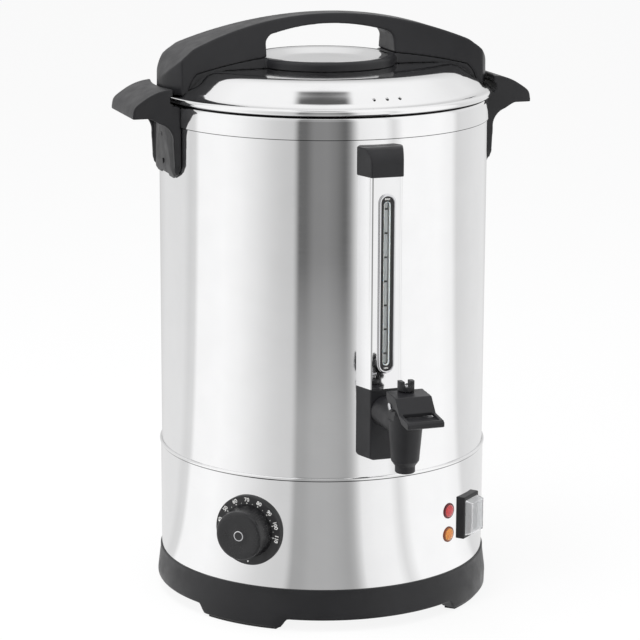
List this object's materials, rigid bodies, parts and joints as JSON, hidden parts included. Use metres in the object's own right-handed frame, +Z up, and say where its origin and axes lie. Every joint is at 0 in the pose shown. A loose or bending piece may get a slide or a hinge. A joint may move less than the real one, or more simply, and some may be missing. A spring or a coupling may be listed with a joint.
{
  "type": "hot water urn",
  "caption": "Stainless steel hot water urn with lift-off lid, press-down lever tap, sight gauge, thermostat knob, indicator lamps and rocker switch.",
  "frame": {"origin": "on the surface that the urn stands on, under the centre line of its round body", "axes": "+Z up, -Y out of the front where the tap and gauge are, +X to the right seen from the front"},
  "size_m": [0.367, 0.4076, 0.5205],
  "materials": {
    "polished_steel": "mirror polished stainless sheet",
    "plain_steel": "plain rolled steel",
    "bright_metal": "bright plated metal",
    "black_plastic": "satin black heat-proof plastic",
    "dial_black": "matt black with printed white scale",
    "rubber_black": "soft black rubber",
    "silicone": "translucent white silicone",
    "clear_glass": "clear glass",
    "clear_plastic": "clear soft plastic",
    "red_plastic": "translucent red",
    "orange_plastic": "translucent orange",
    "white_ceramic": "glazed white",
    "cast_aluminium": "as cast",
    "copper": "bare copper"
  },
  "bodies": {
    "urn": {"base_ring": "black_plastic", "foot_pads": "rubber_black", "base_plate": "plain_steel", "base_screws": "plain_steel", "lower_skirt": "polished_steel", "outer_shell": "polished_steel", "top_collar": "polished_steel", "inner_tank": "plain_steel", "left_handle": "black_plastic", "right_handle": "black_plastic", "handle_plates": "plain_steel", "handle_screws": "plain_steel", "gauge_cover": "polished_steel", "gauge_frame": "bright_metal", "gauge_gasket": "rubber_black", "sight_tube": "clear_glass", "gauge_cap": "black_plastic", "gauge_block": "black_plastic", "gauge_seals": "silicone", "gauge_screws": "plain_steel", "tap_body": "black_plastic", "tap_shank": "bright_metal", "tap_nut": "bright_metal", "tap_washers": "silicone", "tap_bonnet": "black_plastic", "lever_pin": "bright_metal", "dial_plate": "dial_black", "thermostat_body": "plain_steel", "capillary": "copper", "thermostat_bulb": "copper", "red_lamp": "red_plastic", "orange_lamp": "orange_plastic", "red_lens": "red_plastic", "orange_lens": "orange_plastic", "switch_frame": "black_plastic", "switch_cover": "clear_plastic", "mains_inlet": "black_plastic", "inlet_pins": "bright_metal", "heater_plate": "cast_aluminium", "heating_element": "plain_steel", "heater_clamp": "plain_steel", "thermal_cutout": "plain_steel", "terminal_block": "white_ceramic"},
    "lid": {"lid_pan": "polished_steel", "lid_ring": "polished_steel", "lid_handle_base": "black_plastic", "lid_arch": "black_plastic", "finger_dish": "polished_steel", "lid_screws": "plain_steel"},
    "lever": {"tap_lever": "black_plastic"},
    "stem": {"tap_stem": "bright_metal", "tap_seal": "silicone", "stem_cap": "black_plastic"},
    "control_knob": {"knob": "black_plastic", "knob_badge": "bright_metal", "thermostat_spindle": "plain_steel"},
    "rocker": {"switch_rocker": "black_plastic"}
  },
  "joints": [
    {"name": "lid_lift", "type": "slide", "parent": "urn", "child": "lid", "axis": [0, 0, 1], "range_m": [0, 0.12]},
    {"name": "tap_press", "type": "hinge", "parent": "urn", "child": "lever", "pos_m": [0, -0.2173, 0.2184], "axis": [1, 0, 0], "range_deg": [0, 18]},
    {"name": "tap_stem_lift", "type": "slide", "parent": "urn", "child": "stem", "axis": [0, 0, 1], "range_m": [0, 0.00298], "stiffness_N_per_m": 200, "springref_m": -0.004},
    {"name": "knob_turn", "type": "hinge", "parent": "urn", "child": "control_knob", "pos_m": [-0.10514, -0.10699, 0.087], "axis": [-0.7009, -0.7133, 0], "range_deg": [-120, 0]},
    {"name": "switch_rock", "type": "hinge", "parent": "urn", "child": "rocker", "pos_m": [0.09579, -0.11216, 0.0845], "axis": [0.7604, 0.6494, 0], "range_deg": [-20, 0]}
  ],
  "couplings": [
    {"joint": "tap_press", "follows": "tap_stem_lift", "rad_per_m": 105.26}
  ]
}
